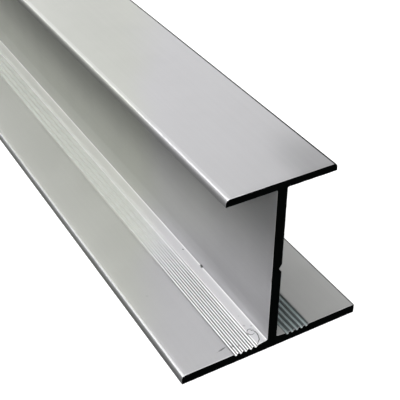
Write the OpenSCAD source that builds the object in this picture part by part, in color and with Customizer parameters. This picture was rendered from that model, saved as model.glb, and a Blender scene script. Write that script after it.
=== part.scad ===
// Extruded aluminium H-section with unequal flanges.
// X runs across the section, Y along the bar and Z up. The origin lies on the
// underside of the base flange, midway along the bar and in line with the web.

/* [Bar] */
// Length of the cut bar
bar_length = 500; // [200:50:3000]
// Overall height of the section, underside to top
section_h = 59; // [40:0.5:80]

/* [Flanges] */
// Width of the wide base flange
base_w = 60; // [50:1:90]
// Thickness of the base flange
base_t = 3.2; // [2.4:0.1:5]
// How much the base flange thickens between its grooves and the web
root_rise = 0.4; // [0:0.1:1]
// Width of the narrow top flange
top_w = 34.5; // [20:0.5:60]
// Thickness of the top flange
top_t = 2.4; // [2:0.1:5]

/* [Web] */
// Thickness of the web
web_t = 3.2; // [2.4:0.1:6]
// Radius of the fillets where the web meets a flange
root_r = 0.4; // [0.2:0.1:2]

/* [Flange tips] */
// Radius along the upper edges of the flange tips
tip_r = 1.2; // [0.5:0.1:1.8]
// Radius that takes the sharpness off every other long edge
edge_r = 0.3; // [0.15:0.05:0.5]

/* [Serrations] */
// Number of V grooves on each side of the web
groove_count = 5; // [1:1:6]
// Distance from the middle of the web to the first groove
groove_start = 5.5; // [5:0.1:8]
// Distance from one groove to the next
groove_pitch = 1.7; // [1.5:0.1:2.4]
// Width of a groove at the flange's face
groove_w = 1.5; // [0.8:0.1:1.5]
// Depth of a groove
groove_depth = 0.75; // [0.3:0.05:0.9]

/* [Drill guide] */
// Width of the V line along the web's right face
guide_w = 2.6; // [0.8:0.1:3]
// Depth of the V line
guide_depth = 0.9; // [0.2:0.1:1]

/* [Hidden] */

// Levels of the faces that the web runs between
web_bottom = base_t + root_rise;
web_top = section_h - top_t;
// Where the base flange starts to thicken, and how steeply it then rises
thicken_x = groove_start - groove_w / 2;
thicken_angle = atan(root_rise / (thicken_x - web_t / 2));
// The cutters reach this far past the faces that they cut
over = 0.5;
// Facets of each circle
$fn = 48;

// Cutter for one outside corner: it lies in the first quadrant, and the arc's
// centre is at the origin.
module corner_cutter(r) {
    difference() {
        square(r + over);
        circle(r);
    }
}

// A flange standing on z = 0 and centred on x = 0. Each radius is that of one
// edge: upper left, upper right, and both lower ones.
module flange(w, t, upper_left_r, upper_right_r, lower_r) {
    difference() {
        translate([-w / 2, 0]) square([w, t]);
        translate([w / 2 - upper_right_r, t - upper_right_r])
            corner_cutter(upper_right_r);
        translate([upper_left_r - w / 2, t - upper_left_r])
            mirror([1, 0]) corner_cutter(upper_left_r);
        for (side = [0, 1])
            mirror([side, 0])
                translate([w / 2 - lower_r, lower_r])
                    mirror([0, 1]) corner_cutter(lower_r);
    }
}

// The part of the base flange that thickens towards the web
module base_root() {
    polygon([
        [-thicken_x, base_t],
        [-thicken_x, base_t / 2],
        [thicken_x, base_t / 2],
        [thicken_x, base_t],
        [web_t / 2, web_bottom],
        [-web_t / 2, web_bottom]
    ]);
}

// Fillet between a web that rises from the origin and a flange whose face
// falls away along +x by the given angle. It reaches a little into both walls,
// so that they join.
module root_fillet(fall) {
    into = root_r / 2;
    centre_y = root_r * (1 - sin(fall)) / cos(fall);
    foot_x = root_r * (1 - sin(fall));
    foot_y = -foot_x * tan(fall);
    difference() {
        polygon([
            [-into, -into],
            [foot_x, foot_y - into],
            [foot_x, foot_y],
            [root_r, centre_y],
            [-into, centre_y]
        ]);
        translate([root_r, centre_y]) circle(root_r);
    }
}

// The web with a fillet in each of its four corners
module web() {
    translate([-web_t / 2, web_bottom - base_t / 2])
        square([web_t, web_top - web_bottom + (base_t + top_t) / 2]);
    for (side = [0, 1])
        mirror([side, 0]) {
            translate([web_t / 2, web_bottom]) root_fillet(thicken_angle);
            translate([web_t / 2, web_top]) mirror([0, 1]) root_fillet(0);
        }
}

// A V that points down from z = 0, with its mouth carried past the face
module v_cutter(w, depth) {
    slope = depth / (w / 2);
    reach = w / 2 + over / slope;
    polygon([[0, -depth], [reach, over], [-reach, over]]);
}

// The row of grooves in the base flange's upper face, on both sides
module serrations() {
    for (side = [-1, 1], i = [0 : groove_count - 1])
        translate([side * (groove_start + i * groove_pitch), base_t])
            v_cutter(groove_w, groove_depth);
}

// The V line at mid height on the web's right face
module drill_guide() {
    translate([web_t / 2, section_h / 2])
        rotate(-90) v_cutter(guide_w, guide_depth);
}

// The whole cross-section, x across and y up
module section() {
    difference() {
        union() {
            flange(base_w, base_t, tip_r, edge_r, edge_r);
            base_root();
            web();
            translate([0, web_top]) flange(top_w, top_t, tip_r, tip_r, edge_r);
        }
        serrations();
        drill_guide();
    }
}

// The bar: the section carried along Y
module h_section_bar() {
    color([0.72, 0.73, 0.73])
        translate([0, bar_length / 2, 0])
            rotate([90, 0, 0])
                linear_extrude(bar_length) section();
}

h_section_bar();
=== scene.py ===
"""Extruded aluminium H-section bar with a wide, serrated base flange and sawn ends.

The section is drawn flat at the near end, swept along the bar and sawn off at both
ends. Its skin is satin metal with fine die lines and handling marks, with highlights
and shade painted along its edges, on its groove walls and in broad patches, and its
sawn ends are painted nearly black as shade. X runs across the section, Y along the
bar and Z up, in metres.
"""

import logging
import math
from collections.abc import Callable, Iterable, Sequence
from dataclasses import dataclass, field
from enum import Enum, IntEnum
from functools import reduce

import bmesh
import bpy
from mathutils import Matrix, Vector


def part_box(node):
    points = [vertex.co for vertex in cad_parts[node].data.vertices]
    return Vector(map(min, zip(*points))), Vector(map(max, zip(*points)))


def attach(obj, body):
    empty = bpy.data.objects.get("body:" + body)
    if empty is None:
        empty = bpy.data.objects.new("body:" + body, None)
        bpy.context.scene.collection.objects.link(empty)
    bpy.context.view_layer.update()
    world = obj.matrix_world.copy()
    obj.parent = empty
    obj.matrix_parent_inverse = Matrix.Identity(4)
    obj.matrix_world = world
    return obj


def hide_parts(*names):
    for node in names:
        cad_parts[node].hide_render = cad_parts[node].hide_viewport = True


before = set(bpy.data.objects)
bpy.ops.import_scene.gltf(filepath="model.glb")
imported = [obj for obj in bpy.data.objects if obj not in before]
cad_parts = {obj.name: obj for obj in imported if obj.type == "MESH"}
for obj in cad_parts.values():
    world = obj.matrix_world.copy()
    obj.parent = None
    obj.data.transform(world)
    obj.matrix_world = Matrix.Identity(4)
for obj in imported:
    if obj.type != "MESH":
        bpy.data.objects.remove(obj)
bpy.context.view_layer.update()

LOG = logging.getLogger("h_section_bar")
MM = 0.001
TOLERANCE = 0.002 * MM
BAR_NODE = "h_section_bar"
WHITE = (1.0, 1.0, 1.0)
# Facets of a fully rounded flange tip, and of an edge that is only eased
TIP_STEPS = 8
EASED_STEPS = 4
# A bevel's profile that makes a quarter circle
CIRCULAR = 0.5
# Layers of finer and finer detail in the sawn ends' unevenness
RAGGED_LAYERS = 3

Colour = tuple[float, float, float]
Place = tuple[float, float, float]
# Scale of soft clouds, and how far up their noise they start and are full
Clouds = tuple[float, float, float]
PlaceTest = Callable[[Vector], bool]
Socket = bpy.types.NodeSocket
Tree = bpy.types.NodeTree
Material = bpy.types.Material
Item = bmesh.types.BMVert | bmesh.types.BMEdge | bmesh.types.BMFace


class Element(Enum):
    """What a pick in edit mode selects."""

    VERTEX = "VERT"
    EDGE = "EDGE"
    FACE = "FACE"


class Finish(IntEnum):
    """The bar's material slots, in their order on the mesh."""

    SKIN = 0
    # Sawn faces, painted nearly black as shade
    SAWN = 1
    # Rounded edges painted nearly black as shade
    DARK_EDGE = 2


class Side(IntEnum):
    """A side of the web, as the sign of its X."""

    LEFT = -1
    RIGHT = 1


class Tone(Enum):
    """Whether a highlight or a shade is painted along an edge line."""

    BURNISHED = "burnished"
    DARKENED = "darkened"


# Shaping a mesh


def same(a: float, b: float) -> bool:
    """Tell whether two lengths agree."""
    return abs(a - b) < TOLERANCE


def at(x: float, z: float) -> PlaceTest:
    """Make a test for one place in the section."""
    return lambda place: same(place.x, x) and same(place.z, z)


class Workpiece:
    """A mesh that is shaped in edit mode."""

    shape: bpy.types.Object

    def start(self, name: str, width: float, height: float, y: float) -> None:
        """Start from a plain rectangle that stands across the bar on z = 0.

        Args:
            name: Name of the object and of its mesh.
            width: Size of the rectangle along X.
            height: Size of the rectangle along Z.
            y: Where the rectangle stands along the bar.
        """
        bpy.ops.object.select_all(action="DESELECT")
        bpy.ops.mesh.primitive_plane_add(
            size=1, location=(0, y, height / 2), rotation=(math.pi / 2, 0, 0)
        )
        self.shape = bpy.context.object
        self.shape.name = name
        self.shape.data.name = name
        self.shape.scale = (width, height, 1)
        bpy.ops.object.transform_apply(location=True, rotation=True, scale=True)
        bpy.ops.object.mode_set(mode="EDIT")

    def select(self, element: Element, test: Callable[[Item], bool]) -> int:
        """Select the elements of one kind that pass a test.

        Args:
            element: The kind of element to select.
            test: Says for an element whether it is selected.

        Returns:
            How many elements are selected.
        """
        bpy.ops.mesh.select_mode(type=element.value)
        bpy.ops.mesh.select_all(action="DESELECT")
        mesh = bmesh.from_edit_mesh(self.shape.data)
        items = {Element.VERTEX: mesh.verts, Element.EDGE: mesh.edges, Element.FACE: mesh.faces}
        found = 0
        for item in items[element]:
            item.select = test(item)
            found += item.select
        mesh.select_flush_mode()
        bmesh.update_edit_mesh(self.shape.data)
        return found

    def pick(self, element: Element, test: PlaceTest) -> None:
        """Select every element that has all of its corners where the test wants them.

        Args:
            element: The kind of element to select.
            test: Says for a place whether it counts.
        """

        def placed(item: Item) -> bool:
            """Tell whether an element's corners all pass the test."""
            corners = (item,) if element is Element.VERTEX else item.verts
            return all(test(corner.co) for corner in corners)

        self.select(element, placed)

    def pick_all(self, element: Element = Element.VERTEX) -> None:
        """Select the whole mesh, as one kind of element."""
        bpy.ops.mesh.select_mode(type=element.value)
        bpy.ops.mesh.select_all(action="SELECT")

    def move(self, x: float = 0, z: float = 0) -> None:
        """Move what is selected by a step along X and Z."""
        bpy.ops.transform.translate(value=(x, 0, z))

    def pull(self, x: float = 0, y: float = 0, z: float = 0) -> None:
        """Extrude what is selected by a step along each axis."""
        bpy.ops.mesh.extrude_region_move(TRANSFORM_OT_translate={"value": (x, y, z)})

    def slice_across(self, x: float) -> None:
        """Cut what is selected along an upright line at x."""
        bpy.ops.mesh.bisect(plane_co=(x, 0, 0), plane_no=(1, 0, 0))

    def slice_level(self, z: float) -> None:
        """Cut what is selected along a level line at z."""
        bpy.ops.mesh.bisect(plane_co=(0, 0, z), plane_no=(0, 0, 1))

    def round_off(self, tests: Sequence[PlaceTest], reach: float, steps: int) -> None:
        """Round the section's corners at some places.

        Args:
            tests: One test for each corner.
            reach: How far from the corner the rounding starts.
            steps: How many facets each rounding has.
        """
        self.pick(Element.VERTEX, lambda place: any(test(place) for test in tests))
        bpy.ops.mesh.bevel(offset=reach, segments=steps, profile=CIRCULAR, affect="VERTICES")

    def split_long_edges(self, longest: float) -> None:
        """Halve the outline's edges until none is longer than a limit."""
        while self.select(Element.EDGE, lambda edge: edge.calc_length() > longest):
            bpy.ops.mesh.subdivide(number_cuts=1)

    def leave(self) -> None:
        """Turn all faces outwards and go back to object mode."""
        self.pick_all()
        bpy.ops.mesh.normals_make_consistent(inside=False)
        bpy.ops.object.mode_set(mode="OBJECT")

    def weigh(self, group: str, weight: Callable[[Vector], float]) -> None:
        """Make a vertex group whose weight depends on the place.

        Args:
            group: Name of the vertex group.
            weight: Gives the weight, 0 to 1, for a place.
        """
        members = self.shape.vertex_groups.new(name=group)
        for vertex in self.shape.data.vertices:
            share = weight(vertex.co)
            if share > 0:
                members.add([vertex.index], share, "REPLACE")

    def roughen(self, group: str, direction: str, depth: float, grain: float) -> None:
        """Push a vertex group unevenly to one side.

        Args:
            group: The vertex group that moves.
            direction: Axis or normal that it moves along.
            depth: The furthest that a vertex moves; negative moves it back.
            grain: Size of the unevenness.
        """
        unevenness = bpy.data.textures.new(f"{group}_unevenness", "CLOUDS")
        unevenness.noise_scale = grain
        unevenness.noise_depth = RAGGED_LAYERS
        push = self.shape.modifiers.new(f"{group}_push", "DISPLACE")
        push.texture = unevenness
        push.texture_coords = "LOCAL"
        push.vertex_group = group
        push.direction = direction
        push.strength = depth
        push.mid_level = 0
        bpy.ops.object.select_all(action="DESELECT")
        self.shape.select_set(True)
        bpy.context.view_layer.objects.active = self.shape
        bpy.ops.object.modifier_apply(modifier=push.name)


# Parts of the section


@dataclass
class Part:
    """A part of the bar, with the workpiece that all its parts are shaped on."""

    piece: Workpiece


@dataclass
class BaseFlange(Part):
    """The wide flange that the bar stands on."""

    width: float
    thickness: float = 3.2 * MM
    root_rise: float = 0.4 * MM
    rise_start: float = 4.75 * MM
    left_tip_r: float = 1.2 * MM
    edge_r: float = 0.3 * MM

    @property
    def root(self) -> float:
        """Level of the raised face that the web stands on."""
        return self.thickness + self.root_rise

    def lay(self, name: str, y: float) -> None:
        """Lay the flange's outline down, for the rest to grow from."""
        self.piece.start(name, self.width, self.thickness, y)

    def thicken(self, web_half: float) -> None:
        """Slope the upper face up to the foot of the web on both sides.

        Args:
            web_half: Half of the web's thickness.
        """
        for side in Side:
            for x in (self.rise_start, web_half):
                self.piece.pick_all()
                self.piece.slice_across(side * x)
        for side in Side:
            self.piece.pick(Element.VERTEX, at(side * web_half, self.thickness))
            self.piece.move(z=self.root_rise)

    def round_edges(self) -> None:
        """Round the left tip fully and ease the other three edges."""
        half = self.width / 2
        self.piece.round_off([at(-half, self.thickness)], self.left_tip_r, TIP_STEPS)
        eased = [at(-half, 0), at(half, 0), at(half, self.thickness)]
        self.piece.round_off(eased, self.edge_r, EASED_STEPS)


@dataclass
class Web(Part):
    """The upright wall between the flanges, from its foot's level to its head's."""

    foot: float
    head: float
    thickness: float = 3.2 * MM
    root_r: float = 0.4 * MM
    root_steps: int = 6

    @property
    def half(self) -> float:
        """Distance from the section's centre line to the web's face."""
        return self.thickness / 2

    def covers(self, place: Vector) -> bool:
        """Tell whether the web's thickness takes in a place."""
        return abs(place.x) < self.half + TOLERANCE

    def rise(self) -> None:
        """Pull the web up out of the base flange."""
        foot = self.foot
        self.piece.pick(Element.EDGE, lambda place: self.covers(place) and same(place.z, foot))
        self.piece.pull(z=self.head - foot)

    def fillet(self) -> None:
        """Fill the four corners where the web meets the flanges."""
        levels = (self.foot, self.head)
        corners = [at(side * self.half, level) for side in Side for level in levels]
        self.piece.round_off(corners, self.root_r, self.root_steps)


@dataclass
class TopFlange(Part):
    """The narrow flange on top of the web."""

    web: Web
    width: float = 34.5 * MM
    thickness: float = 2.4 * MM
    tip_r: float = 1.2 * MM
    edge_r: float = 0.3 * MM

    def spread(self) -> None:
        """Pull the flange up from the web's head, then out to both sides."""
        underside = self.web.head
        self.piece.pick(Element.EDGE, lambda place: same(place.z, underside))
        self.piece.pull(z=self.thickness)
        low = underside - TOLERANCE
        for side in Side:
            face = side * self.web.half
            self.piece.pick(Element.EDGE, lambda place, x=face: same(place.x, x) and place.z > low)
            self.piece.pull(x=side * self.width / 2 - face)

    def round_edges(self) -> None:
        """Round both tips above and ease their lower edges."""
        underside = self.web.head
        rounded = (
            (underside + self.thickness, self.tip_r, TIP_STEPS),
            (underside, self.edge_r, EASED_STEPS),
        )
        for level, reach, steps in rounded:
            tips = [at(side * self.width / 2, level) for side in Side]
            self.piece.round_off(tips, reach, steps)


@dataclass
class Serrations(Part):
    """The rows of grooves in the base flange's upper face, which lies at a level.

    Each groove is a V whose walls have a gentle shoulder at the crest, a steep
    middle and a gentle foot.
    """

    level: float
    count: int = 5
    start: float = 5.5 * MM
    pitch: float = 1.7 * MM
    half_width: float = 0.75 * MM
    depth: float = 0.75 * MM
    shoulder: tuple[float, float] = (0.47 * MM, 0.20 * MM)
    foot: tuple[float, float] = (0.32 * MM, 0.62 * MM)
    crest_r: float = 0.05 * MM
    valley_r: float = 0.06 * MM
    soft_steps: int = 2

    def middles(self) -> list[float]:
        """Give the X of each groove's bottom, on both sides of the web."""
        steps = range(self.count)
        return [side * (self.start + step * self.pitch) for side in Side for step in steps]

    def profile(self) -> list[tuple[float, float]]:
        """Give a groove's corners.

        Returns:
            Each corner's offset from the groove's middle, and its depth.
        """
        right = [self.foot, self.shoulder, (self.half_width, 0.0)]
        left = [(-offset, depth) for offset, depth in right]
        return [*left, (0.0, self.depth), *right]

    def cut(self) -> None:
        """Cut the grooves."""
        level = self.level
        for middle in self.middles():
            for offset, _ in self.profile():
                self.piece.pick(Element.FACE, lambda corner: corner.z < level + TOLERANCE)
                self.piece.slice_across(middle + offset)
        for middle in self.middles():
            for offset, depth in self.profile():
                self.piece.pick(Element.VERTEX, at(middle + offset, level))
                self.piece.move(z=-depth)

    def soften(self) -> None:
        """Take the sharpness off the crests, the shoulders and the bottoms."""
        for offset, depth in self.profile():
            reach = self.valley_r if depth > self.foot[1] else self.crest_r
            corners = [at(middle + offset, self.level - depth) for middle in self.middles()]
            self.piece.round_off(corners, reach, self.soft_steps)


@dataclass
class DrillGuide(Part):
    """The V line along the web's right face that a drill is centred on."""

    web: Web
    level: float
    width: float = 2.6 * MM
    depth: float = 0.9 * MM
    soft_r: float = 0.12 * MM
    soft_steps: int = 3

    def cut(self) -> None:
        """Cut the V line."""
        for step in (-self.width / 2, 0, self.width / 2):
            self.piece.pick(Element.FACE, self.web.covers)
            self.piece.slice_level(self.level + step)
        self.piece.pick(Element.VERTEX, at(self.web.half, self.level))
        self.piece.move(x=-self.depth)

    def soften(self) -> None:
        """Take the sharpness off the mouth and the bottom."""
        face, half = self.web.half, self.width / 2
        corners = [at(face, self.level + side * half) for side in Side]
        corners.append(at(face - self.depth, self.level))
        self.piece.round_off(corners, self.soft_r, self.soft_steps)


@dataclass
class SawnEnds(Part):
    """The two ends, sawn square, with a broken edge and a little raggedness."""

    half_length: float
    broken_edge: float = 0.07 * MM
    ragged_depth: float = 0.12 * MM
    ragged_grain: float = 1.6 * MM
    ragged_reach: float = 0.6 * MM
    burr_level: float = 26.2 * MM
    burr_half: float = 0.9 * MM
    burr_out: float = 0.22 * MM

    @property
    def shoulder(self) -> float:
        """Distance from the bar's middle to where the broken edges start."""
        return self.half_length - self.broken_edge

    def chamfer(self) -> None:
        """Close both ends with a face that has a narrow chamfer round it."""
        for end in (-self.shoulder, self.shoulder):
            self.piece.pick(Element.FACE, lambda place, y=end: same(place.y, y))
            bpy.ops.mesh.inset(thickness=self.broken_edge, depth=self.broken_edge)

    def raise_burr(self, web_half: float) -> None:
        """Turn a small burr out of the web's left edge at the near end.

        Args:
            web_half: Half of the web's thickness.
        """

        def in_burr(place: Vector) -> bool:
            """Tell whether a place is on the burr's stretch of the edge."""
            at_face = abs(place.x + web_half) < 2 * self.broken_edge
            at_end = place.y < TOLERANCE - self.shoulder
            return at_face and at_end and abs(place.z - self.burr_level) < self.burr_half

        self.piece.pick(Element.VERTEX, in_burr)
        self.piece.move(x=-self.burr_out)

    def roughen(self) -> None:
        """Make the sawn edges slightly uneven, inwards only."""

        def end_share(place: Vector) -> float:
            """Give how near a place on the skin is to a sawn end, 0 to 1."""
            past = self.shoulder - abs(place.y)
            return max(0.0, 1.0 - past / self.ragged_reach) if past > -TOLERANCE else 0.0

        depth, end = self.ragged_depth, self.shoulder
        pushes = (
            ("near_edge", lambda place: float(same(place.y, -end)), "Y", depth),
            ("far_edge", lambda place: float(same(place.y, end)), "Y", -depth),
            ("both_ends", end_share, "NORMAL", -depth),
        )
        for group, share, _, _ in pushes:
            self.piece.weigh(group, share)
        for group, _, direction, reach in pushes:
            self.piece.roughen(group, direction, reach, self.ragged_grain)


# Shader nodes


class Patch:
    """A node tree with short calls to add its nodes and join them."""

    def __init__(self, tree: Tree) -> None:
        """Take a node tree and empty it."""
        self.tree = tree
        tree.nodes.clear()

    def add(self, kind: str, inputs: dict | None = None, **settings: object) -> bpy.types.Node:
        """Add a node.

        Args:
            kind: The node's type name.
            inputs: Values, colours or sockets by input name or number.
            **settings: Properties of the node by name.

        Returns:
            The new node.
        """
        node = self.tree.nodes.new(kind)
        for name, value in settings.items():
            setattr(node, name, value)
        for name, value in (inputs or {}).items():
            socket = node.inputs[name]
            if isinstance(value, Socket):
                self.tree.links.new(value, socket)
            else:
                socket.default_value = (*value, 1.0) if socket.type == "RGBA" else value
        return node

    def put(self, kind: str, inputs: dict | None = None, **settings: object) -> Socket:
        """Add a node and give its first output."""
        return self.add(kind, inputs, **settings).outputs[0]

    def math(self, operation: str, *values: object) -> Socket:
        """Add a Math node and give its result."""
        return self.put("ShaderNodeMath", dict(enumerate(values)), operation=operation)

    def fold(self, operation: str, values: Iterable[Socket], start: float = 0.0) -> Socket:
        """Join some values by one kind of Math node and give the result."""
        return reduce(lambda total, value: self.math(operation, total, value), values, start)

    def vector(self, operation: str, *values: object) -> Socket:
        """Add a Vector Math node and give its result."""
        node = self.add("ShaderNodeVectorMath", dict(enumerate(values)), operation=operation)
        return node.outputs["Value" if operation == "LENGTH" else "Vector"]

    def span(
        self, value: object, low: object, high: object, to_low: float = 0.0, to_high: float = 1.0
    ) -> Socket:
        """Add a smooth Map Range node.

        Args:
            value: What is mapped.
            low: Where the input range starts.
            high: Where the input range ends.
            to_low: The result at its start.
            to_high: The result at its end.

        Returns:
            The mapped value.
        """
        ends = {"From Min": low, "From Max": high, "To Min": to_low, "To Max": to_high}
        inputs = {"Value": value, **ends}
        return self.put("ShaderNodeMapRange", inputs, interpolation_type="SMOOTHSTEP")

    def fade(self, value: Socket, full: object, gone: object) -> Socket:
        """Give 1 up to one value, fading smoothly to 0 at a higher one."""
        return self.span(value, full, gone, 1.0, 0.0)

    def blend(self, factor: Socket, low: object, high: object) -> Socket:
        """Add a colour Mix node, by its sockets' numbers, and give its colour."""
        inputs = {0: factor, 6: low, 7: high}
        return self.add("ShaderNodeMix", inputs, data_type="RGBA").outputs[2]

    def noise(self, place: Socket, scale: object, detail: float = 2, rough: float = 0.5) -> Socket:
        """Add a Noise Texture node and give its value."""
        inputs = {"Vector": place, "Scale": scale, "Detail": detail, "Roughness": rough}
        return self.put("ShaderNodeTexNoise", inputs)

    def wander(self, noise: Socket, width: float) -> Socket:
        """Turn a noise into a sway to both sides, as wide in all as asked."""
        return self.math("MULTIPLY", self.math("SUBTRACT", noise, 0.5), width)

    def bump(self, height: Socket, depth: float, strength: float) -> Socket:
        """Add a Bump node and give its normal."""
        inputs = {"Strength": strength, "Distance": depth, "Height": height}
        return self.put("ShaderNodeBump", inputs)

    def by_ray(self, unseen: Socket, seen: Socket) -> Socket:
        """Show one shader in reflections and another when looked at."""
        camera_ray = self.add("ShaderNodeLightPath").outputs["Is Camera Ray"]
        return self.put("ShaderNodeMixShader", {0: camera_ray, 1: unseen, 2: seen})


class Pattern(Patch):
    """A shared node group that makes one mask from a place."""

    def __init__(
        self, name: str, mask: str, vectors: Sequence[str] = (), numbers: Sequence[str] = ()
    ) -> None:
        """Start the group.

        Args:
            name: Name of the group.
            mask: Name of its output.
            vectors: Names of the vector inputs, apart from the place.
            numbers: Names of the number inputs.
        """
        super().__init__(bpy.data.node_groups.new(name, "ShaderNodeTree"))
        kinds = dict.fromkeys(("Place", *vectors), "NodeSocketVector")
        kinds |= dict.fromkeys(numbers, "NodeSocketFloat")
        for socket, kind in kinds.items():
            self.tree.interface.new_socket(socket, in_out="INPUT", socket_type=kind)
        self.tree.interface.new_socket(mask, in_out="OUTPUT", socket_type="NodeSocketFloat")
        self.given = self.add("NodeGroupInput").outputs
        self.place = self.given["Place"]

    def past(self, point: str) -> Socket:
        """Give the step from the point that an input states to the place."""
        return self.vector("SUBTRACT", self.place, self.given[point])

    def close(self, mask: Socket) -> Tree:
        """Put the mask out and give the finished group."""
        self.add("NodeGroupOutput", {0: mask})
        return self.tree


def drawn_lines() -> Tree:
    """Build the fine lines that a die leaves along the bar.

    Returns:
        The group.
    """
    low, high = 0.3, 0.7
    group = Pattern("drawn_lines", "Lines", numbers=("Fineness", "Run"))
    stretch = group.put("ShaderNodeCombineXYZ", {0: 1.0, 1: group.given["Run"], 2: 1.0})
    place = group.vector("MULTIPLY", group.place, stretch)
    noise = group.noise(place, group.given["Fineness"], detail=3, rough=0.6)
    return group.close(group.span(noise, low, high))


def soft_clouds() -> Tree:
    """Build soft clouds, for tints, smears and uneven gloss.

    Returns:
        The group.
    """
    group = Pattern("soft_clouds", "Cloud", numbers=("Scale", "Low", "High"))
    noise = group.noise(group.place, group.given["Scale"])
    return group.close(group.span(noise, group.given["Low"], group.given["High"]))


def small_mark() -> Tree:
    """Build one small ragged mark: 1 on the mark, 0 off it.

    Returns:
        The group.
    """
    grain, full, gone = 2600, 1.0, 1.6
    group = Pattern("small_mark", "Mark", ("Middle", "Half size"), ("Turn",))
    inputs = {"Vector": group.past("Middle"), "Angle": group.given["Turn"]}
    turned = group.put("ShaderNodeVectorRotate", inputs, rotation_type="Z_AXIS")
    shares = group.vector("DIVIDE", turned, group.given["Half size"])
    reach = group.math("ADD", group.vector("LENGTH", shares), group.noise(group.place, grain))
    return group.close(group.fade(reach, full, gone))


def broad_shade_patch() -> Tree:
    """Build one broad soft patch of painted shade: 1 in its middle, fading to 0.

    Returns:
        The group.
    """
    grain, sway, full, gone = 70, 0.3, 0.25, 1.25
    group = Pattern("broad_shade_patch", "Stain", ("Middle", "Half size"))
    shares = group.vector("DIVIDE", group.past("Middle"), group.given["Half size"])
    wander = group.wander(group.noise(group.place, grain), sway)
    reach = group.math("ADD", group.vector("LENGTH", shares), wander)
    return group.close(group.fade(reach, full, gone))


def curved_scratch() -> Tree:
    """Build one thin curved scratch: 1 on the scratch, 0 off it.

    Returns:
        The group.
    """
    grain, sway, full, gone = 900, 0.6 * MM, 0.4, 1.0
    group = Pattern("curved_scratch", "Scratch", ("Middle",), ("Radius", "Half width"))
    level = group.vector("MULTIPLY", group.past("Middle"), (1.0, 1.0, 0.0))
    off = group.math("SUBTRACT", group.vector("LENGTH", level), group.given["Radius"])
    wander = group.wander(group.noise(group.place, grain, detail=3), sway)
    off = group.math("ABSOLUTE", group.math("ADD", off, wander))
    share = group.math("DIVIDE", off, group.given["Half width"])
    return group.close(group.fade(share, full, gone))


def long_edge() -> Tree:
    """Build a line that runs along the bar: 1 on the line, 0 beyond its reach.

    Returns:
        The group.
    """
    full, gone = 0.7, 1.0
    group = Pattern("long_edge", "Edge", ("Line",), ("Reach",))
    across = group.vector("MULTIPLY", group.past("Line"), (1.0, 0.0, 1.0))
    share = group.math("DIVIDE", group.vector("LENGTH", across), group.given["Reach"])
    return group.close(group.fade(share, full, gone))


@dataclass(frozen=True)
class SharedPatterns:
    """The node groups that the finishes share, each built once."""

    lines: Tree = field(default_factory=drawn_lines)
    clouds: Tree = field(default_factory=soft_clouds)
    mark: Tree = field(default_factory=small_mark)
    shade_patch: Tree = field(default_factory=broad_shade_patch)
    arc: Tree = field(default_factory=curved_scratch)
    edge: Tree = field(default_factory=long_edge)


class Mix(Patch):
    """The nodes of one material."""

    def __init__(self, name: str, shared: SharedPatterns) -> None:
        """Start the material.

        Args:
            name: Name of the material.
            shared: The shared node groups.
        """
        self.material = bpy.data.materials.new(name)
        self.material.use_nodes = True
        super().__init__(self.material.node_tree)
        self.shared = shared
        self.place = self.add("ShaderNodeTexCoord").outputs["Object"]

    def lay(self, pattern: Tree, inputs: dict) -> Socket:
        """Lay a shared pattern over the piece and give its mask."""
        return self.put("ShaderNodeGroup", {"Place": self.place, **inputs}, node_tree=pattern)

    def lay_at(self, strength: object, pattern: Tree, inputs: dict) -> Socket:
        """Lay a shared pattern over the piece at some strength and give its mask."""
        return self.math("MULTIPLY", self.lay(pattern, inputs), strength)

    def clouds(self, scale: float, low: float, high: float) -> Socket:
        """Lay soft clouds over the piece, from their scale and their noise's range."""
        return self.lay(self.shared.clouds, {"Scale": scale, "Low": low, "High": high})

    def lines(self, run: float, fineness: float = 900.0) -> Socket:
        """Lay the die's fine lines along the piece."""
        return self.lay(self.shared.lines, {"Fineness": fineness, "Run": run})

    def close(self, shader: Socket) -> Material:
        """Show a shader and give the finished material."""
        self.add("ShaderNodeOutputMaterial", {"Surface": shader})
        return self.material

    def gather(self, spots: Iterable["Stain | Arc | EdgeLine"]) -> Socket:
        """Gather the masks of some places in one, the strongest where they meet."""
        return self.fold("MAXIMUM", [spot.mask(self) for spot in spots])


# Handling marks, and painted highlights and shade, on the skin


@dataclass(frozen=True)
class Stain:
    """A broad soft patch of painted shade: its middle, half size and darkness."""

    middle: Place
    half: Place
    strength: float

    def mask(self, mix: Mix) -> Socket:
        """Give its mask: 0 on clean metal, up to its darkness in its middle."""
        inputs = {"Middle": self.middle, "Half size": self.half}
        return mix.lay_at(self.strength, mix.shared.shade_patch, inputs)


@dataclass(frozen=True)
class Mark(Stain):
    """A small dark blemish, which may be turned."""

    turn: float = 0.0

    def mask(self, mix: Mix) -> Socket:
        """Give its mask: 0 on clean metal, its darkness on the mark."""
        inputs = {"Middle": self.middle, "Half size": self.half, "Turn": self.turn}
        return mix.lay_at(self.strength, mix.shared.mark, inputs)


@dataclass(frozen=True)
class Arc:
    """A curved scratch: part of a circle that shows inside a window."""

    middle: Place
    radius: float
    window: Mark
    half_width: float = 0.17 * MM

    def mask(self, mix: Mix) -> Socket:
        """Give its mask: 0 on clean metal, the window's darkness on the scratch."""
        inputs = {"Middle": self.middle, "Radius": self.radius, "Half width": self.half_width}
        return mix.lay_at(self.window.mask(mix), mix.shared.arc, inputs)


@dataclass(frozen=True)
class EdgeLine:
    """A line along the bar where a highlight or a shade is painted on the skin."""

    x: float
    z: float
    reach: float
    tone: Tone
    strength: float = 1.0

    def mask(self, mix: Mix) -> Socket:
        """Give its mask: 0 off the line, its strength on it."""
        inputs = {"Line": (self.x, 0.0, self.z), "Reach": self.reach}
        return mix.lay_at(self.strength, mix.shared.edge, inputs)


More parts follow.
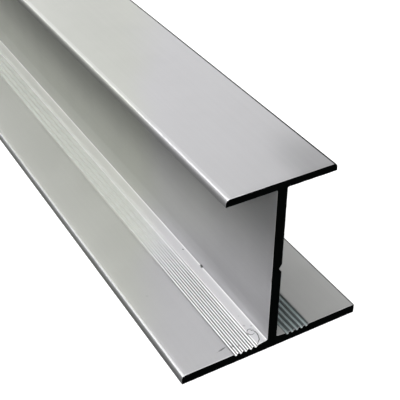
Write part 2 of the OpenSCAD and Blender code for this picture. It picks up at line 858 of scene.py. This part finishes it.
@dataclass(frozen=True)
class WallTone:
    """A band of painted light or shade on one strip of every groove, on one side of the web.

    The strip runs from one offset to another, measured from the groove's bottom
    towards the right.
    """

    side: Side
    start: float
    end: float
    level: float

    def mask(self, mix: Mix, side: Socket, offset: Socket, soft: float) -> Socket:
        """Find the strip.

        Args:
            mix: The skin's nodes.
            side: The sign of a place's X.
            offset: How far right of its groove's bottom a place is.
            soft: How far the strip's borders fade to either side.

        Returns:
            The strip's painted brightness on it, 0 off it.
        """
        middle = (self.start + self.end) / 2
        half = (self.end - self.start) / 2
        away = mix.math("ABSOLUTE", mix.math("SUBTRACT", offset, middle))
        strip = mix.span(away, half - soft, half + soft, self.level, 0.0)
        here = mix.math("COMPARE", side, float(self.side), 0.5)
        return mix.math("MULTIPLY", strip, here)


@dataclass(frozen=True)
class MarksAndPaintedLight:
    """The handling marks and scratches of one bar, and the highlights and shade painted on it: patches
    of shade, lines along its edges and bands on its groove walls.
    """

    marks: Sequence[Mark | Arc]
    # Patches of painted shade
    painted_shades: Sequence[Stain]
    # Lines of painted highlight and painted shade along edges
    edges: Sequence[EdgeLine]
    # Bands of painted light and shade on the groove walls
    walls: Sequence[WallTone]

    def toned(self, tone: Tone) -> list[EdgeLine]:
        """Give the edge lines of one tone."""
        return [edge for edge in self.edges if edge.tone is tone]


# Finishes


class SkinMix(Mix):
    """The nodes of the bar's skin, with a place's parts at hand."""

    def __init__(self, name: str, shared: SharedPatterns, half_length: float) -> None:
        """Start the material.

        Args:
            name: Name of the material.
            shared: The shared node groups.
            half_length: Half of the bar's length.
        """
        super().__init__(name, shared)
        self.x, self.y, self.z = self.add("ShaderNodeSeparateXYZ", {0: self.place}).outputs
        self.half_length = half_length
        self.from_end = self.math("ADD", self.y, half_length)


@dataclass(frozen=True)
class SatinSkin:
    """Extruded aluminium skin: satin, with die lines and handling marks, and highlights and shade
    painted on it.
    """

    name: str = "satin_skin"
    cool: Colour = (0.545, 0.543, 0.555)
    warm: Colour = (0.540, 0.548, 0.516)
    # Colour that die lines, smears and patches of painted shade darken the metal towards
    dark: Colour = (0.10, 0.10, 0.105)
    # Nearly black, for the marks and for shade painted along edge lines
    mark_and_shade_black: Colour = (0.010, 0.011, 0.011)
    # Colour of painted highlights
    bright: Colour = (0.88, 0.88, 0.89)
    # Colours of the painted shaded and lit bands on the groove walls, the lit ones warmer further
    # along and both teal-tinted on the right near the near end
    groove_dark: Colour = (0.15, 0.152, 0.155)
    groove_bright: Colour = (0.80, 0.80, 0.81)
    groove_warm: Colour = (0.793, 0.807, 0.753)
    groove_teal: Colour = (0.70, 0.79, 0.79)
    groove_shade: Colour = (0.145, 0.168, 0.170)
    # Far along, one wall of each groove is painted a little lighter and the other a little darker, to
    # even out how differently they are lit
    groove_plain: float = 0.64
    groove_even: float = 0.045
    groove_levels: tuple[float, float] = (2.2 * MM, 3.4 * MM)
    groove_soft: float = 0.04 * MM
    bottom_soft: float = 0.2 * MM
    rough_low: float = 0.56
    rough_high: float = 0.60
    rough_bright: float = 0.48
    rough_lines: float = 0.35
    rough_full: float = 1.3
    # From where to where along the bar the painted wall bands, and their teal tint on the right, give
    # way to evened-out walls
    painted_fade: tuple[float, float] = (34 * MM, 62 * MM)
    tint_border: float = 78 * MM
    tint_slant: float = 1.9
    tint_reach: float = 16 * MM
    tint_clouds: Clouds = (22.0, 0.2, 0.8)
    tint_wander: float = 20 * MM
    tint_right: float = 0.5
    tint_right_from: tuple[float, float] = (1 * MM, 3 * MM)
    tint_right_below: tuple[float, float] = (40 * MM, 50 * MM)
    # A painted highlight beside the saw cuts: where it starts, where it is full and how strong
    rim_from: float = 0.6 * MM
    rim_full: float = 0.25 * MM
    rim_highlight_level: float = 0.5
    lines_run: float = 0.012
    lines_depth: float = 0.002 * MM
    lines_shade: float = 0.015
    smears: Clouds = (60.0, 0.35, 0.75)
    smears_shade: float = 0.02
    marks_depth: float = 4.0
    relief: float = 0.5

    def material(
        self, shared: SharedPatterns, marks_and_light: MarksAndPaintedLight, grooves: Serrations, half_length: float
    ) -> Material:
        """Mix the finish.

        Args:
            shared: The shared node groups.
            marks_and_light: The marks of this bar, and the light and shade painted on it.
            grooves: The rows of grooves, whose walls are burnished in lines.
            half_length: Half of the bar's length.

        Returns:
            The material.
        """
        mix = SkinMix(self.name, shared, half_length)
        lines = mix.lines(self.lines_run)
        smears = mix.clouds(*self.smears)
        marks = mix.gather(marks_and_light.marks)
        # Nearly black where there are marks and where shade is painted along edge lines
        marks_and_painted_shade = mix.math("MAXIMUM", mix.gather(marks_and_light.toned(Tone.DARKENED)), marks)
        # Painted highlights along edge lines and beside the saw cuts
        highlight_share = mix.math("MAXIMUM", mix.gather(marks_and_light.toned(Tone.BURNISHED)), self._rim_highlight(mix))

        colour = self._metal(mix, grooves, marks_and_light.walls)
        colour = mix.blend(highlight_share, colour, self.bright)
        # Darker along die lines and smears, and in the patches of painted shade
        shade = mix.math("MULTIPLY", lines, self.lines_shade)
        shade = mix.math("ADD", shade, mix.math("MULTIPLY", smears, self.smears_shade))
        shade = mix.math("ADD", shade, mix.gather(marks_and_light.painted_shades))
        colour = mix.blend(shade, colour, self.dark)

        uneven = mix.math("ADD", mix.math("MULTIPLY", lines, self.rough_lines), smears)
        rough = mix.span(uneven, 0.0, self.rough_full, self.rough_low, self.rough_high)
        gloss = mix.math("MULTIPLY", highlight_share, self.rough_low - self.rough_bright)
        pressed = mix.math("MULTIPLY", marks, self.marks_depth)
        height = mix.math("SUBTRACT", lines, pressed)
        inputs = {
            "Base Color": mix.blend(marks_and_painted_shade, colour, self.mark_and_shade_black),
            "Metallic": mix.math("SUBTRACT", 1.0, marks_and_painted_shade),
            "Roughness": mix.math("SUBTRACT", rough, gloss),
            "Normal": mix.bump(height, self.lines_depth, self.relief),
        }
        return mix.close(mix.put("ShaderNodeBsdfPrincipled", inputs))

    def _metal(self, mix: SkinMix, grooves: Serrations, walls: Sequence[WallTone]) -> Socket:
        """Colour the clean metal, plain and in the rows of grooves, with light and shade painted on
        the groove walls.

        Args:
            mix: The skin's nodes.
            grooves: The rows of grooves.
            walls: The painted light and shade of the groove walls.

        Returns:
            The colour.
        """
        tint = self._tint(mix)
        on_right = mix.math("GREATER_THAN", mix.x, 0.0)
        # On the right of the web near the near end, the painted lit and shaded bands take a teal tint
        near_right = mix.math("MULTIPLY", on_right, mix.fade(mix.from_end, *self.painted_fade))
        # Colours of the painted lit and shaded bands on the groove walls
        light = mix.blend(tint, self.groove_bright, self.groove_warm)
        light = mix.blend(near_right, light, self.groove_teal)
        dark = mix.blend(near_right, self.groove_dark, self.groove_shade)
        rows, level = self._grooves(mix, grooves, walls)
        plain = mix.blend(tint, self.cool, self.warm)
        return mix.blend(rows, plain, mix.blend(level, dark, light))

    def _tint(self, mix: SkinMix) -> Socket:
        """Let the metal turn slightly warmer away from the near end.

        Args:
            mix: The skin's nodes.

        Returns:
            The share of the warm tint.
        """
        wander = mix.wander(mix.clouds(*self.tint_clouds), self.tint_wander)
        slanted = mix.math("MULTIPLY", mix.x, self.tint_slant)
        past = mix.math("SUBTRACT", mix.math("ADD", mix.from_end, wander), slanted)
        left = mix.span(past, self.tint_border - self.tint_reach, self.tint_border + self.tint_reach)
        right = mix.span(mix.x, *self.tint_right_from, 0.0, self.tint_right)
        below = mix.fade(mix.z, *self.tint_right_below)
        return mix.math("MAXIMUM", left, mix.math("MULTIPLY", right, below))

    def _rim_highlight(self, mix: SkinMix) -> Socket:
        """Paint a highlight on the last fraction of a millimetre beside the saw cuts."""
        past = mix.math("SUBTRACT", mix.math("ABSOLUTE", mix.y), mix.half_length)
        return mix.span(past, -self.rim_from, -self.rim_full, 0.0, self.rim_highlight_level)

    def _grooves(
        self, mix: SkinMix, grooves: Serrations, walls: Sequence[WallTone]
    ) -> tuple[Socket, Socket]:
        """Find the rows of grooves and how bright their walls are painted, in lit and shaded bands
        near the near end and evened out further along.

        Args:
            mix: The skin's nodes.
            grooves: The rows of grooves.
            walls: The painted light and shade of the groove walls.

        Returns:
            The mask of the rows, and how bright the walls are painted.
        """
        first = grooves.start - grooves.pitch / 2
        out = mix.math("SUBTRACT", mix.math("ABSOLUTE", mix.x), first)
        step = mix.math("DIVIDE", out, grooves.pitch)
        low, high = self.groove_levels
        tests = (
            mix.math("GREATER_THAN", step, 0.0),
            mix.math("LESS_THAN", step, float(grooves.count)),
            mix.math("GREATER_THAN", mix.z, low),
            mix.math("LESS_THAN", mix.z, high),
        )
        inside = mix.fold("MULTIPLY", tests, 1.0)
        side = mix.math("SIGN", mix.x)
        offset = mix.math("SUBTRACT", mix.math("FRACT", step), 0.5)
        offset = mix.math("MULTIPLY", mix.math("MULTIPLY", offset, side), grooves.pitch)
        strips = [wall.mask(mix, side, offset, self.groove_soft) for wall in walls]
        # Near the near end the painted bands are kept; further along the walls are evened out
        far_share = mix.span(mix.from_end, *self.painted_fade)
        new = mix.math("SUBTRACT", 1.0, far_share)
        kept = mix.math("MULTIPLY", mix.fold("MAXIMUM", strips), new)
        lighter = self.groove_plain + self.groove_even
        darker = self.groove_plain - self.groove_even
        even = mix.span(offset, -self.bottom_soft, self.bottom_soft, lighter, darker)
        return inside, mix.math("ADD", kept, mix.math("MULTIPLY", far_share, even))


@dataclass(frozen=True)
class SawnMetal:
    """A sawn face painted nearly black as shade, with the arcs of a saw blade."""

    name: str = "sawn_metal"
    # Nearly black: painted shade
    dark: Colour = (0.0012, 0.0018, 0.0016)
    light: Colour = (0.0035, 0.0048, 0.0045)
    rough_low: float = 0.55
    rough_high: float = 0.75
    gleam: float = 0.04
    clouds: Clouds = (260.0, 0.3, 0.7)
    blade_hub: Place = (-120 * MM, 0.0, 150 * MM)
    arc_pitch: float = 0.55 * MM
    arc_wander: float = 0.33 * MM
    arc_depth: float = 0.01 * MM
    relief: float = 0.6

    def material(self, shared: SharedPatterns) -> Material:
        """Mix the finish.

        Args:
            shared: The shared node groups.

        Returns:
            The material.
        """
        mix = Mix(self.name, shared)
        from_hub = mix.vector("SUBTRACT", mix.place, self.blade_hub)
        radius = mix.vector("LENGTH", mix.vector("MULTIPLY", from_hub, (1.0, 0.0, 1.0)))
        clouds = mix.clouds(*self.clouds)
        wander = mix.math("MULTIPLY", clouds, self.arc_wander)
        turns = mix.math("DIVIDE", mix.math("ADD", radius, wander), self.arc_pitch)
        wave = mix.math("SINE", mix.math("MULTIPLY", turns, math.tau))
        arcs = mix.span(wave, -1.0, 1.0)
        share = mix.math("MULTIPLY", mix.math("ADD", arcs, clouds), 0.5)
        inputs = {
            "Base Color": mix.blend(share, self.dark, self.light),
            "Metallic": 0.0,
            "Roughness": mix.span(clouds, 0.0, 1.0, self.rough_low, self.rough_high),
            "Specular IOR Level": self.gleam,
            "Normal": mix.bump(arcs, self.arc_depth, self.relief),
        }
        return mix.close(mix.put("ShaderNodeBsdfPrincipled", inputs))


@dataclass(frozen=True)
class PaintedShadeEdge:
    """The nearly black line of painted shade along the flange edges."""

    name: str = "dark_edge"
    dark: Colour = (0.004, 0.005, 0.0045)
    light: Colour = (0.020, 0.022, 0.021)
    rough: float = 0.6
    gleam: float = 0.06
    clouds: Clouds = (120.0, 0.3, 0.7)
    lines_run: float = 0.02
    lines_depth: float = 0.004 * MM
    relief: float = 0.5

    def material(self, shared: SharedPatterns) -> Material:
        """Mix the finish.

        Args:
            shared: The shared node groups.

        Returns:
            The material.
        """
        mix = Mix(self.name, shared)
        lines = mix.lines(self.lines_run)
        share = mix.math("MULTIPLY", mix.clouds(*self.clouds), lines)
        inputs = {
            "Base Color": mix.blend(share, self.dark, self.light),
            "Metallic": 0.0,
            "Roughness": self.rough,
            "Specular IOR Level": self.gleam,
            "Normal": mix.bump(lines, self.lines_depth, self.relief),
        }
        return mix.close(mix.put("ShaderNodeBsdfPrincipled", inputs))


@dataclass(frozen=True)
class PaleFloor:
    """A white floor that is bright to look at and dark in the metal's reflections."""

    name: str = "pale_floor"
    glow: float = 0.93
    paint: Colour = (0.30, 0.30, 0.30)
    patches: Colour = (0.291, 0.291, 0.291)
    clouds: Clouds = (3.0, 0.2, 0.8)
    mirrored: Colour = (0.035, 0.037, 0.036)

    def material(self, shared: SharedPatterns) -> Material:
        """Mix the finish.

        Args:
            shared: The shared node groups.

        Returns:
            The material.
        """
        mix = Mix(self.name, shared)
        paint = mix.blend(mix.clouds(*self.clouds), self.paint, self.patches)
        lit = mix.put("ShaderNodeBsdfDiffuse", {"Color": paint})
        glow = mix.put("ShaderNodeEmission", {"Color": WHITE, "Strength": self.glow})
        seen = mix.put("ShaderNodeAddShader", {0: lit, 1: glow})
        unseen = mix.put("ShaderNodeBsdfDiffuse", {"Color": self.mirrored})
        return mix.close(mix.by_ray(unseen, seen))


# The bar


@dataclass
class HSectionBar:
    """The whole bar: its section, swept along Y, with both ends sawn off."""

    piece: Workpiece
    height: float
    base: BaseFlange
    web: Web
    top: TopFlange
    serrations: Serrations
    guide: DrillGuide
    ends: SawnEnds
    outline_step: float = 1.2 * MM
    end_steps: tuple[float, ...] = (0.1 * MM, 0.25 * MM, 0.6 * MM, 2 * MM, 8 * MM)
    middle_steps: int = 12
    flat_angle: float = math.radians(0.5)
    smooth_angle: float = math.radians(32)

    @classmethod
    def from_frame(cls) -> "HSectionBar":
        """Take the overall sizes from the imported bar.

        Returns:
            The bar, not yet modelled.
        """
        low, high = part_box(BAR_NODE)
        width, length, height = high - low
        piece = Workpiece()
        base = BaseFlange(piece, width)
        web = Web(piece, base.root, height - TopFlange.thickness)
        return cls(
            piece,
            height,
            base,
            web,
            top=TopFlange(piece, web),
            serrations=Serrations(piece, base.thickness),
            guide=DrillGuide(piece, web, height / 2),
            ends=SawnEnds(piece, length / 2),
        )

    def build(self) -> bpy.types.Object:
        """Model the bar.

        Returns:
            The bar's object, at the origin.
        """
        self.base.lay("bar", -self.ends.shoulder)
        self._draw_section()
        self._sweep()
        self.ends.chamfer()
        self.ends.raise_burr(self.web.half)
        self.piece.leave()
        self.ends.roughen()
        bpy.ops.object.shade_smooth_by_angle(angle=self.smooth_angle)
        return self.piece.shape

    def _draw_section(self) -> None:
        """Shape the flat outline of the section."""
        self.base.thicken(self.web.half)
        self.web.rise()
        self.top.spread()
        self.serrations.cut()
        self.guide.cut()
        self.piece.pick_all()
        bpy.ops.mesh.dissolve_limited(angle_limit=self.flat_angle)
        self.web.fillet()
        self.serrations.soften()
        self.guide.soften()
        self.base.round_edges()
        self.top.round_edges()
        self.piece.split_long_edges(self.outline_step)

    def _sweep(self) -> None:
        """Carry the section along the bar, in short steps close to the ends."""
        middle = 2 * (self.ends.shoulder - sum(self.end_steps))
        even = [middle / self.middle_steps] * self.middle_steps
        self.piece.pick_all(Element.FACE)
        for step in (*self.end_steps, *even, *reversed(self.end_steps)):
            self.piece.pull(y=step)

    def dress(self, bar: bpy.types.Object, shared: SharedPatterns) -> None:
        """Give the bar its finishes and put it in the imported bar's place.

        Args:
            bar: The bar's object.
            shared: The shared node groups.
        """
        half_length = self.ends.half_length
        skin = SatinSkin().material(shared, self.marks_and_light(), self.serrations, half_length)
        bar.data.materials.append(skin)
        bar.data.materials.append(SawnMetal().material(shared))
        bar.data.materials.append(PaintedShadeEdge().material(shared))
        for face in bar.data.polygons:
            face.material_index = self._finish_of(face)
        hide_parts(BAR_NODE)
        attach(bar, "root")

    def _finish_of(self, face: bpy.types.MeshPolygon) -> Finish:
        """Choose a face's finish by its shape and place.

        Args:
            face: A face of the bar.

        Returns:
            Its finish.
        """
        # Only the two sawn faces have more corners than a strip of the skin.
        if len(face.vertices) > 4:
            return Finish.SAWN
        for edge in self.dark_edges():
            if math.hypot(face.center.x - edge.x, face.center.z - edge.z) < edge.reach:
                return Finish.DARK_EDGE
        return Finish.SKIN

    def dark_edges(self) -> list[EdgeLine]:
        """Give the rounded edges that are painted nearly black all along, as shade.

        Returns:
            The edges, each with the reach of its rounding.
        """
        base_half = self.base.width / 2
        top_x = self.top.width / 2 - 0.25 * MM
        # Painted shade along the top flange's right tip, the base flange's upper right edge and its
        # lower left edge
        return [
            EdgeLine(top_x, self.height, 0.98 * MM, Tone.DARKENED),
            EdgeLine(base_half, self.base.thickness, 0.29 * MM, Tone.DARKENED),
            EdgeLine(-base_half, 0.0, 0.29 * MM, Tone.DARKENED),
        ]

    def marks_and_light(self) -> MarksAndPaintedLight:
        """Give the marks and scratches of this bar, with its patches, lines and bands of painted light
        and shade.
        """
        marks = [*self.marks(), *self.scratches()]
        return MarksAndPaintedLight(marks, self.painted_shades(), self.edge_lines(), self.wall_tones())

    def mark(
        self, x: float, from_end: float, half: Place, strength: float, rise: float = 0, turn: float = 0
    ) -> Mark:
        """Place a mark on the base flange, with its sizes in millimetres.

        Args:
            x: How far across its middle is.
            from_end: How far from the near end its middle is.
            half: Its half size across, along and upwards.
            strength: How dark it is.
            rise: How far its middle is above the flange's plain face.
            turn: How far it is turned, in radians.

        Returns:
            The mark, in metres.
        """
        middle = self.on_base(x, from_end, rise)
        return Mark(middle, tuple(size * MM for size in half), strength, turn)

    def on_base(self, x: float, from_end: float, rise: float = 0) -> Place:
        """Give a place on the base flange in metres, from millimetres."""
        level = self.base.thickness + rise * MM
        return (x * MM, from_end * MM - self.ends.half_length, level)

    def marks(self) -> list[Mark]:
        """Give the dark blemishes of this bar.

        Returns:
            The marks.
        """
        flat = 0.6
        return [
            self.mark(-1.6, 38.0, (0.75, 1.0, flat), 1.0, rise=0.5),
            self.mark(-2.6, 48.6, (0.3, 0.45, flat), 0.7, rise=0.2),
            self.mark(-14.9, 3.7, (1.7, 0.32, flat), 0.75, turn=-0.2),
            self.mark(-11.4, 3.3, (0.7, 0.5, flat), 0.6),
            self.mark(-10.1, 2.6, (0.5, 0.4, flat), 0.5),
            self.mark(-4.2, 8.8, (0.45, 0.5, flat), 0.3),
            self.mark(-2.5, 7.5, (0.35, 0.4, flat), 0.3, rise=0.2),
            self.mark(-3.5, 13.0, (0.25, 0.3, flat), 0.25),
            self.mark(-23.1, 34.6, (0.5, 0.5, flat), 0.08),
            self.mark(-12.9, 28.5, (0.15, 0.5, flat), 0.3),
        ]

    def scratches(self) -> list[Arc]:
        """Give the curved scratches of the rubbed place near the sawn end.

        Returns:
            The scratches.
        """
        tall = 1.6
        long_window = self.mark(-3.4, 3.1, (2.6, 4.2, tall), 0.95, rise=0.2)
        curl_window = self.mark(-4.6, 5.6, (2.1, 2.7, tall), 0.85, rise=0.2)
        return [
            Arc(self.on_base(-6.63, 3.99), 3.85 * MM, long_window),
            Arc(self.on_base(-3.81, 5.58), 1.16 * MM, curl_window),
        ]

    def painted_shades(self) -> list[Stain]:
        """Give the broad soft patches of painted shade on the top flange and the web.

        Returns:
            The patches.
        """
        near = -self.ends.half_length
        # Painted shade: darker at the top flange's near right corner, over its far part, and high on
        # the web far along, where the top flange shades it
        corner = (13 * MM, near - 3 * MM, self.height)
        far_top = (-10 * MM, near + 165 * MM, self.height)
        far_web = (-self.web.half, near + 150 * MM, 38 * MM)
        return [
            Stain(corner, (11 * MM, 24 * MM, 5 * MM), 0.30),
            Stain(far_top, (30 * MM, 110 * MM, 5 * MM), 0.12),
            Stain(far_web, (5 * MM, 120 * MM, 18 * MM), 0.18),
        ]

    def wall_tones(self) -> list[WallTone]:
        """Give the painted light and shade of the groove walls: bright bands for painted highlights,
        dark bands for painted shade.

        Returns:
            The tones.
        """
        left, right = Side.LEFT, Side.RIGHT
        half_pitch = self.serrations.pitch / 2
        return [
            WallTone(left, -half_pitch, 0.0, 0.22),
            WallTone(left, -0.08 * MM, 0.30 * MM, 0.86),
            WallTone(left, 0.50 * MM, 0.74 * MM, 0.86),
            WallTone(left, 0.70 * MM, half_pitch, 0.22),
            WallTone(right, -0.1 * MM, 0.42 * MM, 0.95),
        ]

    def edge_lines(self) -> list[EdgeLine]:
        """Give the lines along the edges where highlights and shade are painted.

        Returns:
            The lines.
        """
        base_half = self.base.width / 2
        top_half = self.top.width / 2
        # The middle of the left root fillet's face
        root_in = self.web.root_r * 0.6
        root_x = -self.web.half - root_in
        root_z = self.web.foot + root_in * 0.4
        bright, dark = Tone.BURNISHED, Tone.DARKENED
        level = self.base.thickness
        # Bright lines are painted highlights and dark lines painted shade, on the root fillet, the
        # web's foot, the groove edges and the flange tips; the one at the base's lower left edge is a
        # painted contact shadow
        return [
            EdgeLine(root_x, root_z, 0.22 * MM, bright, 0.4),
            EdgeLine(root_x + 0.2 * MM, root_z + 0.22 * MM, 0.28 * MM, dark, 0.3),
            EdgeLine(-self.web.half, level + 2.8 * MM, 5.0 * MM, bright, 0.1),
            EdgeLine(3.4 * MM, level + 0.2 * MM, 2.0 * MM, dark, 0.28),
            EdgeLine(13.15 * MM, level - 0.1 * MM, 0.45 * MM, dark, 0.2),
            EdgeLine(-5.42 * MM, level - 0.65 * MM, 0.3 * MM, bright, 0.4),
            EdgeLine(-5.15 * MM, level - 0.35 * MM, 0.35 * MM, bright, 0.15),
            EdgeLine(-13.0 * MM, level - 0.1 * MM, 0.35 * MM, bright, 0.2),
            EdgeLine(-base_half + 0.22 * MM, level - 0.5 * MM, 0.55 * MM, bright, 1.0),
            EdgeLine(-base_half + 0.05 * MM, level - 1.0 * MM, 0.6 * MM, bright, 0.8),
            EdgeLine(-base_half + 0.79 * MM, level - 0.07 * MM, 0.42 * MM, dark, 0.3),
            EdgeLine(-base_half, 0.0, 0.55 * MM, dark, 0.7),
            EdgeLine(-top_half + 1.45 * MM, self.height, 0.5 * MM, bright, 0.2),
            EdgeLine(-top_half + 0.2 * MM, self.height - 0.55 * MM, 0.6 * MM, dark, 0.45),
            EdgeLine(-top_half - 0.35 * MM, self.web.head + 1.0 * MM, 1.35 * MM, dark, 0.55),
            EdgeLine(base_half, level, 0.65 * MM, dark, 0.9),
        ]


# The studio


@dataclass(frozen=True)
class SoftBox:
    """A rectangular soft light, turned towards the bar."""

    name: str
    azimuth: float
    elevation: float
    width: float
    height: float
    power: float
    aim_y: float = -0.2
    aim_z: float = 0.03
    distance: float = 1.6

    def place(self) -> None:
        """Hang the light."""
        across, up = math.radians(self.azimuth), math.radians(self.elevation)
        level = math.cos(up)
        towards = Vector((math.sin(across) * level, math.cos(across) * level, math.sin(up)))
        lamp = bpy.data.lights.new(self.name, "AREA")
        lamp.shape = "RECTANGLE"
        lamp.size = self.width
        lamp.size_y = self.height
        lamp.energy = self.power
        holder = bpy.data.objects.new(self.name, lamp)
        bpy.context.scene.collection.objects.link(holder)
        holder.location = Vector((0, self.aim_y, self.aim_z)) + self.distance * towards
        holder.rotation_euler = towards.to_track_quat("Z", "Y").to_euler()


@dataclass
class Studio:
    """Floor, lights and camera."""

    floor_size: float = 12.0
    camera_place: Place = (-0.11361, -0.40237, 0.19004)
    camera_azimuth: float = 30.266
    camera_elevation: float = 35.968
    camera_roll: float = 0.452
    lens: float = 81.32
    sensor: float = 36.0
    nearest: float = 0.01
    ambient: float = 0.01
    boxes: tuple[SoftBox, ...] = (
        SoftBox("top_left_box", -70, 62, 1.3, 1.3, 16.6, aim_y=0.15),
        SoftBox("top_left_near_box", -80, 62, 1.0, 1.0, 12.0, aim_y=0.0),
        SoftBox("front_left_box", -130, 45, 1.2, 1.0, 21.1, aim_y=-0.1),
        SoftBox("back_high_box", -10, 64, 1.0, 0.8, 3.4),
        SoftBox("back_box", 3, 18, 0.9, 0.6, 6.85),
        SoftBox("back_right_box", 38, 12, 0.6, 0.5, 4.4),
        SoftBox("right_box", 90, 35, 1.2, 0.9, 5.75),
    )

    def build(self, shared: SharedPatterns) -> None:
        """Set the studio up.

        Args:
            shared: The shared node groups.
        """
        self._lay_floor(shared)
        for box in self.boxes:
            box.place()
        self._tint_world()
        self._set_camera()

    def _lay_floor(self, shared: SharedPatterns) -> None:
        """Lay the floor under the bar.

        Args:
            shared: The shared node groups.
        """
        bpy.ops.object.select_all(action="DESELECT")
        bpy.ops.mesh.primitive_plane_add(size=self.floor_size)
        floor = bpy.context.object
        floor.name = "floor"
        floor.data.materials.append(PaleFloor().material(shared))

    def _tint_world(self) -> None:
        """Make the surroundings white to look at and dim in reflections."""
        world = bpy.data.worlds.new("surroundings")
        world.use_nodes = True
        bpy.context.scene.world = world
        patch = Patch(world.node_tree)
        dim, seen = (
            patch.put("ShaderNodeBackground", {"Color": WHITE, "Strength": strength})
            for strength in (self.ambient, 1.0)
        )
        patch.add("ShaderNodeOutputWorld", {"Surface": patch.by_ray(dim, seen)})

    def _set_camera(self) -> None:
        """Stand the camera at the near end, to the left of the bar and above it."""
        lens = bpy.data.cameras.new("camera")
        lens.lens = self.lens
        lens.sensor_width = self.sensor
        lens.clip_start = self.nearest
        camera = bpy.data.objects.new("camera", lens)
        bpy.context.scene.collection.objects.link(camera)
        tilt = Matrix.Rotation(math.radians(90 - self.camera_elevation), 4, "X")
        turn = Matrix.Rotation(-math.radians(self.camera_azimuth), 4, "Z")
        roll = Matrix.Rotation(math.radians(self.camera_roll), 4, "Z")
        camera.matrix_world = Matrix.Translation(self.camera_place) @ turn @ tilt @ roll
        bpy.context.scene.camera = camera
        bpy.context.scene.view_settings.view_transform = "Standard"


def main() -> None:
    """Build the bar and the studio, and report each piece."""
    logging.basicConfig(level=logging.INFO, format="%(name)s: %(message)s")
    shared = SharedPatterns()
    design = HSectionBar.from_frame()
    bar = design.build()
    design.dress(bar, shared)
    LOG.info("bar: %d faces in %d finishes", len(bar.data.polygons), len(Finish))
    studio = Studio()
    studio.build(shared)
    LOG.info("floor and %d soft boxes", len(studio.boxes))


if __name__ == "__main__":
    main()
